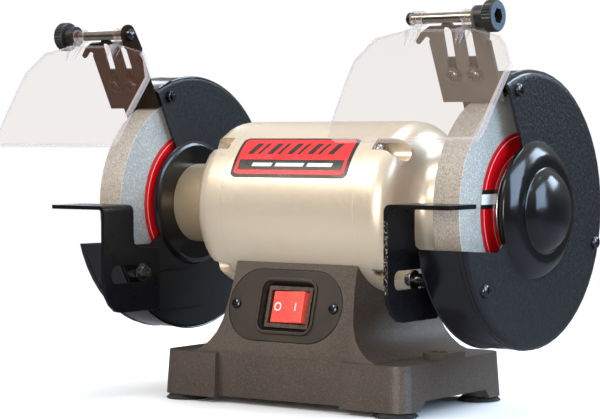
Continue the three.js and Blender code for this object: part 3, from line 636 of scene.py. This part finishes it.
# Each node's look and its bevel in millimetres.
MIDDLE_LOOKS = {
    "base_housing": ("casting", 1.3),
    "base_plate": ("sheet_steel", 0.2),
    "cable_gland": ("rubber", 0.4),
    "capacitor": ("can", 0.6),
    "switch_plate": ("plate", 0.6),
    "rocker": ("switch_red", 0.4),
    "motor_shell": ("motor", 0.3),
    "stator_core": ("laminations", 0.2),
    "rotor_core": ("laminations", 0.2),
    "spindle_shaft": ("turned", 0.2),
    "foot_1": ("rubber", 0.4),
    "foot_2": ("rubber", 0.4),
    "foot_3": ("rubber", 0.4),
    "foot_4": ("rubber", 0.4),
}
SIDE_LOOKS = {
    "winding": ("copper", 0.5),
    "bearing": ("turned", 0.3),
    "rest_bolt": ("dark_zinc", 0.2),
    "tool_rest": ("rest", 0.4),
    "wheel": ("stone", 0.5),
    "inner_flange": ("turned", 0.3),
    "outer_flange": ("turned", 0.3),
    "inner_blotter": ("blotter_inner", 0),
    "outer_blotter": ("blotter_outer", 0),
    "spindle_nut": ("zinc", 0.3),
    "cover_screw_1": ("dark_screw", 0.2),
    "cover_screw_2": ("dark_screw", 0.2),
    "cover_screw_3": ("dark_screw", 0.2),
    "bracket_screw_1": ("dark_screw", 0.2),
    "bracket_screw_2": ("dark_screw", 0.2),
}


def finish_cad():
    for word, side in SIDES.items():
        finish_bell(word)
        finish_guards(word)
        finish_shield(word)
        finish_knob(word, side)
        finish_rod(word, side)
        finish_node(word + "_shield_bracket", "bracket_" + word, bevel=0.2)
        for name, (look, bevel) in SIDE_LOOKS.items():
            finish_node(f"{word}_{name}", look, bevel=bevel)
    finish_switch()
    for name, (look, bevel) in MIDDLE_LOOKS.items():
        finish_node(name, look, bevel=bevel)


finish_cad()


# ------------------------------------------------------------------ mesh helpers

def new_piece(name, shape, look, body, bevel=0.0):
    """Makes a piece from a mesh or a bmesh, finishes it and hangs it on its body."""
    if isinstance(shape, bmesh.types.BMesh):
        mesh = bpy.data.meshes.new(name)
        bmesh.ops.recalc_face_normals(shape, faces=shape.faces)
        shape.to_mesh(mesh)
        shape.free()
    else:
        mesh = shape
    obj = bpy.data.objects.new(name, mesh)
    bpy.context.scene.collection.objects.link(obj)
    mesh.materials.append(LOOKS[look])
    refine(obj, bevel)
    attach(obj, body)
    return obj


def around(steps):
    return [2 * math.pi * i / steps for i in range(steps)]


def lathe(profile, steps, place):
    """Turns (length, radius) pairs, in millimetres, about local Z. Radii of 0 close the ends."""
    bm = bmesh.new()
    rings = []
    for length, radius in profile:
        if radius == 0:
            rings.append([bm.verts.new((0, 0, length))])
            continue
        spots = [(radius * math.cos(a), radius * math.sin(a), length) for a in around(steps)]
        rings.append([bm.verts.new(spot) for spot in spots])
    for low, high in zip(rings, rings[1:]):
        for i in range(steps):
            j = (i + 1) % steps
            corners = (low[i % len(low)], low[j % len(low)], high[j % len(high)], high[i % len(high)])
            unique = list(dict.fromkeys(corners))
            if len(unique) > 2:
                bm.faces.new(unique)
    bmesh.ops.scale(bm, vec=(MM, MM, MM), verts=bm.verts)
    bmesh.ops.transform(bm, matrix=place, verts=bm.verts)
    return bm


def skin(rings_of_points):
    """A closed body over rings with the same number of points, capped at both ends."""
    bm = bmesh.new()
    rings = [[bm.verts.new(point) for point in ring] for ring in rings_of_points]
    for low, high in zip(rings, rings[1:]):
        for m in range(len(low)):
            n = (m + 1) % len(low)
            bm.faces.new((low[m], low[n], high[n], high[m]))
    bm.faces.new(rings[0])
    bm.faces.new(rings[-1])
    return bm


def aimed(point, axis):
    """A frame at `point` whose local Z runs along `axis`."""
    return Matrix.Translation(point) @ Vector(axis).to_track_quat("Z", "Y").to_matrix().to_4x4()


def cut_cross(bm, lift, half_width, reach, depth):
    """Sinks a crosshead recess, centred `lift` above the seat, into a screw head by a boolean."""
    cutter = bmesh.new()
    for turn in (0, math.pi / 2):
        box = bmesh.ops.create_cube(cutter, size=2)["verts"]
        bmesh.ops.scale(cutter, vec=(reach * MM, half_width * MM, depth * MM), verts=box)
        bmesh.ops.rotate(cutter, matrix=Matrix.Rotation(turn, 3, "Z"), verts=box)
    bmesh.ops.transform(cutter, matrix=Matrix.Translation((0, 0, lift * MM)), verts=cutter.verts)
    objects = []
    for tag, item in (("head", bm), ("cut", cutter)):
        mesh = bpy.data.meshes.new(tag)
        item.to_mesh(mesh)
        item.free()
        obj = bpy.data.objects.new(tag, mesh)
        bpy.context.scene.collection.objects.link(obj)
        objects.append(obj)
    head, tool = objects
    boolean = head.modifiers.new("cross", "BOOLEAN")
    boolean.object, boolean.operation, boolean.solver = tool, "DIFFERENCE", "EXACT"
    boolean.use_self = True
    bpy.context.view_layer.update()
    result = bpy.data.meshes.new_from_object(head.evaluated_get(bpy.context.evaluated_depsgraph_get()))
    for obj in objects:
        bpy.data.objects.remove(obj)
    return result


def pan_head(place, radius, height, washer=0.0):
    """A domed head with a cross recess and an optional washer of the given radius under it."""
    lift = WASHER_THICK if washer else 0.0
    profile = [(0, 0)]
    if washer:
        profile += [(0, washer), (lift, washer)]
    profile.append((lift, radius))
    steps = 5
    for i in range(1, steps):
        angle = math.radians(90 * i / steps)
        profile.append((lift + height * (0.25 + 0.75 * math.sin(angle)), radius * math.cos(angle * 0.93)))
    profile.append((lift + height, 0))
    head = lathe(profile, 28, Matrix.Identity(4))
    mesh = cut_cross(head, lift + height, 0.55, radius * 0.56, height * 0.55)
    mesh.transform(place)
    return mesh


# ------------------------------------------------------------------ screws

def cover_screws(word, side):
    """The three screws that hold a guard's cover, in full."""
    height = 2.8
    for i in (1, 2, 3):
        node = f"{word}_cover_screw_{i}"
        low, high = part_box(node)
        seat = (low + high) / 2
        seat.x = (high.x if side > 0 else low.x) - side * height * MM
        head = pan_head(aimed(seat, (side, 0, 0)), 4.3, height)
        piece = new_piece(f"{word}_cover_screw_head_{i}", head, "dark_screw", "root")
        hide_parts(node)


def bracket_screws(word):
    """The two screws with washers that hold a shield bracket, in full."""
    head_height = 2.7
    outward = front_normal(word + "_shield_bracket")
    for i in (1, 2):
        node = f"{word}_bracket_screw_{i}"
        top = max(v.co.dot(outward) for v in NODES[node].data.vertices)
        center = middle(node)
        rise = top - center.dot(outward) - (head_height + WASHER_THICK) * MM
        head = pan_head(aimed(center + outward * rise, outward), 4.4, head_height, 5.8)
        name = f"{word}_bracket_screw_head_{i}"
        piece = new_piece(name, head, "bracket_screw_" + word, "root")
        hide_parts(node)


def full_screws():
    """The screws drawn in full in place of the CAD's plain ones."""
    for word, side in SIDES.items():
        cover_screws(word, side)
        bracket_screws(word)


def bell_screws():
    """The through-bolts that hold the end bells, deep in their scoops."""
    seat_x, reach, angle = 58.6, 50.5, math.radians(48.5)
    y, z = reach * math.cos(angle), reach * math.sin(angle)
    for word, side in SIDES.items():
        for i, (back, high) in enumerate([(-1, -1), (-1, 1), (1, -1), (1, 1)], 1):
            seat = placed(side * seat_x, back * y, high * z)
            head = pan_head(aimed(seat, (side, 0, 0)), 4.6, 4.2, 5.6)
            new_piece(f"{word}_bell_screw_{i}", head, "zinc", "root")


def on_face(x, out, up):
    """A point on the base's leaning front, `out` from its plane and `up` along it from its top edge."""
    y = PANEL_TOP_Y - out * math.cos(LEAN) + up * math.sin(LEAN)
    z = PANEL_TOP_Z + out * math.sin(LEAN) + up * math.cos(LEAN)
    return placed(x, y, z)


def switch_screws():
    """The switch plate's two screws."""
    proud, row = 0.35, -29.4
    for i, x in enumerate((-43.3, 35.9), 1):
        head = pan_head(aimed(on_face(x, proud, row), FACE_OUT), 3.6, 2.1)
        new_piece(f"switch_screw_{i}", head, "dark_screw", "root")


def cover_nuts():
    """The nuts and bolt ends of the cover screws, on each guard's motor side."""
    nut = [(0, 0), (0, 3.8), (0.4, 4.3), (2.8, 4.3), (3.2, 3.8), (3.2, 0)]
    bolt_end = [(3.2, 0), (3.2, 1.9), (4.8, 1.9), (5.2, 1.5), (5.2, 0)]
    for word, side in SIDES.items():
        for i in (1, 2, 3):
            seat = middle(f"{word}_cover_screw_{i}")
            seat.x = SPINDLE.x + side * GUARD_BACK_X * MM
            place = aimed(seat, (-side, 0, 0))
            name = f"{word}_cover_nut_{i}"
            new_piece(name, lathe(nut, 6, place), "dark_screw", "root", 0.15)
            name = f"{word}_cover_bolt_end_{i}"
            new_piece(name, lathe(bolt_end, 14, place), "dark_screw", "root")


full_screws()
bell_screws()
switch_screws()


# ------------------------------------------------------------------ label

def on_motor(x, along, radius):
    """A point on the motor's skin: `along` runs up from the front, in millimetres round the shell."""
    angle = along / MOTOR_R
    return placed(x, -radius * math.cos(angle), radius * math.sin(angle))


def wrapped(rows, lift, columns=8):
    """A thin patch from (along, x0, x1) rows, wrapped on the motor `lift` above its skin."""
    bm = bmesh.new()
    grid = []
    for along, x0, x1 in rows:
        steps = [x0 + (x1 - x0) * j / columns for j in range(columns + 1)]
        grid.append([bm.verts.new(on_motor(x, along, MOTOR_R + lift)) for x in steps])
    for low, high in zip(grid, grid[1:]):
        for j in range(columns):
            bm.faces.new((low[j], low[j + 1], high[j + 1], high[j]))
    bmesh.ops.recalc_face_normals(bm, faces=bm.faces)
    if sum(f.normal.dot(f.calc_center_median() - SPINDLE) for f in bm.faces) < 0:
        bmesh.ops.reverse_faces(bm, faces=bm.faces)
    bmesh.ops.solidify(bm, geom=bm.faces, thickness=-0.12 * MM)
    return bm


def rounded_rows(x0, x1, low, high, corner):
    """The rows of a rectangle with rounded corners."""
    rows = []
    steps = 20
    for k in range(steps + 1):
        along = low + (high - low) * k / steps
        over = max(low + corner - along, along - (high - corner), 0)
        inset = corner - math.sqrt(max(corner * corner - over * over, 0))
        rows.append((along, x0 + inset, x1 - inset))
    return rows


def slanted_rows(x, width, low, high, lean, steps):
    """The rows of a bar that leans to the right as it rises."""
    rows = []
    for k in range(steps + 1):
        along = low + (high - low) * k / steps
        left = x + lean * (along - low)
        rows.append((along, left, left + width))
    return rows


def motor_label():
    """Black border, red field, slanted bars and a dark band with dashes: shapes only, no wording."""
    x0, x1 = -48.3, 46.7
    low, high = 20.4, 52.7
    border = rounded_rows(x0, x1, low, high, 3.5)
    field = rounded_rows(x0 + 2.5, x1 - 2.5, low + 2.3, high - 1.7, 2.2)
    band = rounded_rows(x0 + 5, x1 - 5, low + 5.4, low + 13, 0.4)
    new_piece("motor_label_border", wrapped(border, 0.12), "label_black", "root")
    new_piece("motor_label_field", wrapped(field, 0.26), "label_red", "root")
    new_piece("motor_label_band", wrapped(band, 0.38), "label_black", "root")
    pitch, wide, narrow = 8.2, 4.6, 2.6
    for i in range(9):
        width = narrow if i % 2 else wide
        bar = slanted_rows(x0 + 9 + i * pitch, width, low + 17.5, high - 5.5, 0.55, 6)
        new_piece(f"motor_label_bar_{i + 1}", wrapped(bar, 0.38, 2), "label_black", "root")
    for i, (x, width) in enumerate(((-32, 16), (-13, 23), (13, 20)), 1):
        dash = slanted_rows(x, width, low + 7.8, low + 10.4, 0.3, 3)
        new_piece(f"motor_label_dash_{i}", wrapped(dash, 0.5), "mark_white", "root")


motor_label()


# ------------------------------------------------------------------ seams, beads and rims

def motor_seams():
    """Light filler between the shell and its end bells."""
    low, high = MOTOR_R - 2.4, MOTOR_R - 0.06
    width = 0.3
    profile = [(SEAM_X, low), (SEAM_X, high), (SEAM_X + width, high), (SEAM_X + width, low), (SEAM_X, low)]
    for word, side in SIDES.items():
        bm = lathe(profile, 60, aimed(SPINDLE, (side, 0, 0)))
        new_piece(f"{word}_motor_seam", bm, "motor", "root")


def drum_beads():
    """Pressed beads round each drum, from the lower lip of its opening round the back to the bracket."""
    start, end = 196.5, 473
    steps, ramp, sides = 90, 3, 8
    for word, side in SIDES.items():
        for tag, along, thick in (("seam", 13.6, 0.5), ("inner", -14.4, 0.8)):
            rings = []
            for k in range(steps + 1):
                angle = math.radians(start - side * GUARD_TURN + (end - start) * k / steps)
                taper = max(min(1.0, k / ramp, (steps - k) / ramp), 0.15)
                ring = []
                for turn in around(sides):
                    reach = GUARD_R + thick * taper * math.sin(turn)
                    x = side * (GUARD_MID + along + thick * math.cos(turn))
                    ring.append(placed(x, reach * math.cos(angle), reach * math.sin(angle)))
                rings.append(ring)
            new_piece(f"{word}_drum_bead_{tag}", skin(rings), "gloss", "root")


# The shield's free edges, in millimetres across and up the sheet from its rod.
SHIELD_EDGE = (
    (-35, -9.2), (-57.6, -15.2), (-67.2, -32.4), (-67.3, -48), (-65.6, -85), (-63.6, -90), (-58.6, -93),
    (41.2, -93), (43.6, -91), (44.6, -87), (45.6, -66), (47.9, -37.6), (38.6, -22), (33, -16.2),
)


def rim_section(k):
    """The rim's corners at the edge's point k, as (across, up, lift off the sheet)."""
    point = Vector(SHIELD_EDGE[k])
    before = Vector(SHIELD_EDGE[max(k - 1, 0)])
    after = Vector(SHIELD_EDGE[min(k + 1, len(SHIELD_EDGE) - 1)])
    along = (after - before).normalized()
    inward = Vector((-along.y, along.x))
    wide, narrow, right_from = 2.6, 1.2, 30
    width = wide if point.x > right_from else narrow
    corners = ((0.25, -0.1), (0.35, 0.2), (width - 0.1, 0.2), (width, -0.1))
    return [(*(point + inward * inset), lift) for inset, lift in corners]


def shield_rims():
    """The moulded rim round each sheet's free edges, wider on its right side."""
    edge_left = min(x for x, _ in SHIELD_EDGE)
    edge_foot = min(z for _, z in SHIELD_EDGE)
    across = Vector((1, 0, 0))
    for word in SIDES:
        node = word + "_eye_shield"
        mesh = NODES[node].data
        widest = widest_face(node)
        out = front_normal(node)
        up = out.cross(across)
        up = up if up.z > 0 else -up
        sheet = [f for f in mesh.polygons if f.normal.dot(out) > 0.999 and f.area > widest.area * 0.2]
        level = max(f.center.dot(out) for f in sheet)
        left = min(v.co.x for v in mesh.vertices)
        foot = min(v.co.dot(up) for v in mesh.vertices)
        rings = []
        for k in range(len(SHIELD_EDGE)):
            ring = []
            for x, z, lift in rim_section(k):
                on_sheet = across * (left + (x - edge_left) * MM) + up * (foot + (z - edge_foot) * MM)
                ring.append(on_sheet + out * (level + lift * MM))
            rings.append(ring)
        new_piece(f"{word}_shield_rim", skin(rings), "edge", word + "_shield")


motor_seams()
cover_nuts()
drum_beads()
shield_rims()


# ------------------------------------------------------------------ rocker marks

def mark_place(u, slope):
    """A frame on the rocker's face, `u` along it from its pivot, at the angle it rests at."""
    pivot_x, pivot_out, pivot_up = -1.9, -0.6, -29.8
    lift, rise = 0.23, 0.055
    rest = math.radians(8.5)
    along = Vector((math.cos(rest), math.sin(rest)))
    off = Vector((-math.sin(rest), math.cos(rest)))
    spot = along * u + off * (lift + abs(u) * rise)
    normal = (off - along * slope).normalized()
    facing = FACE_OUT * normal.y + Vector((normal.x, 0, 0))
    return aimed(on_face(pivot_x + spot.x, pivot_out + spot.y, pivot_up), facing)


def rocker_marks():
    """A ring and a bar, standing just proud of the cap's two faces."""
    bore, rim, thick = 2.1, 3.0, 0.12
    profile = [(0, bore), (thick, bore), (thick, rim), (0, rim), (0, bore)]
    ring = lathe(profile, 28, mark_place(-8.2, -0.7 / 12.3))
    new_piece("rocker_mark_o", ring, "mark_white", "rocker")
    width, height = 0.9, 5.4
    bar = bmesh.new()
    verts = bmesh.ops.create_cube(bar, size=1)["verts"]
    bmesh.ops.scale(bar, vec=(width * MM, height * MM, 2 * thick * MM), verts=verts)
    bmesh.ops.transform(bar, matrix=mark_place(8.0, 0.7 / 13.1), verts=verts)
    new_piece("rocker_mark_i", bar, "mark_white", "rocker")


rocker_marks()


# ------------------------------------------------------------------ stage

def make_stage():
    """A pale floor that thins out into the white surround. Gloss on the object sees it dimmed."""
    floor = Shader("floor", (0.93, 0.93, 0.93), 0.6, Specular_IOR_Level=0.2)
    mirrored = floor.new("ShaderNodeLightPath").outputs["Is Glossy Ray"]
    pale = floor.mix(floor.noise(3), (0.92, 0.92, 0.92), (0.94, 0.94, 0.94))
    floor.set("Base Color", floor.mix(mirrored, pale, (0.22, 0.22, 0.23)))
    x, y, _ = floor.parts()
    solid_to, gone_at = 0.30, 0.85
    floor.set("Alpha", floor.spread(floor.length(x, y), solid_to, gone_at, 1.0, 0.0))
    bm = bmesh.new()
    bm.faces.new([bm.verts.new((math.cos(a), math.sin(a), 0)) for a in around(96)])
    mesh = bpy.data.meshes.new("floor")
    bm.to_mesh(mesh)
    bm.free()
    mesh.materials.append(floor.material)
    obj = bpy.data.objects.new("floor", mesh)
    bpy.context.scene.collection.objects.link(obj)


def make_world():
    """White behind the object. For what it lights, paler overhead than at the horizon."""
    world = bpy.data.worlds.new("world")
    world.use_nodes = True
    tree = world.node_tree
    new, link = tree.nodes.new, tree.links.new
    height = new("ShaderNodeSeparateXYZ")
    link(new("ShaderNodeTexCoord").outputs["Generated"], height.inputs[0])
    fill = new("ShaderNodeMapRange")
    link(height.outputs["Z"], fill.inputs["Value"])
    for key, value in (("From Min", 0.0), ("From Max", 0.9), ("To Min", 0.10), ("To Max", 0.80)):
        fill.inputs[key].default_value = value
    seen = new("ShaderNodeMix")
    link(new("ShaderNodeLightPath").outputs["Is Camera Ray"], seen.inputs["Factor"])
    link(fill.outputs[0], seen.inputs["A"])
    seen.inputs["B"].default_value = 1.0
    background = tree.nodes["Background"]
    background.inputs["Color"].default_value = (1, 1, 1, 1)
    link(seen.outputs[0], background.inputs["Strength"])
    bpy.context.scene.world = world


# Soft boxes round the spindle: place and size in metres, power in watts, and colour.
LIGHTS = {
    "key": ((-1.1, -1.9, 1.9), (1.3, 0.9), 34, (1.0, 0.93, 0.85)),
    "front": ((0.9, -2.2, 0.35), (0.9, 1.1), 34, (1.0, 0.93, 0.86)),
    "side": ((2.1, 0.2, 1.0), (1.5, 1.6), 62, (0.55, 0.75, 1.0)),
    "top": ((0.2, 0.4, 2.2), (1.4, 1.2), 27, (0.86, 0.93, 1.0)),
    "rear_right": ((1.3, 1.7, 1.2), (0.8, 0.8), 26, (0.66, 0.82, 1.0)),
    "rear_left": ((-1.7, 1.2, 0.8), (0.6, 0.9), 9, (0.80, 0.90, 1.0)),
}


def make_lights():
    for name, (place, (width, height), power, color) in LIGHTS.items():
        data = bpy.data.lights.new(name, "AREA")
        data.shape, data.size, data.size_y = "RECTANGLE", width, height
        data.energy, data.color = power, color
        obj = bpy.data.objects.new(name, data)
        obj.location = place
        obj.rotation_euler = (SPINDLE - Vector(place)).to_track_quat("-Z", "Y").to_euler()
        obj.visible_camera = False
        bpy.context.scene.collection.objects.link(obj)


make_world()
make_stage()
make_lights()
bpy.context.scene.view_settings.view_transform = "Standard"
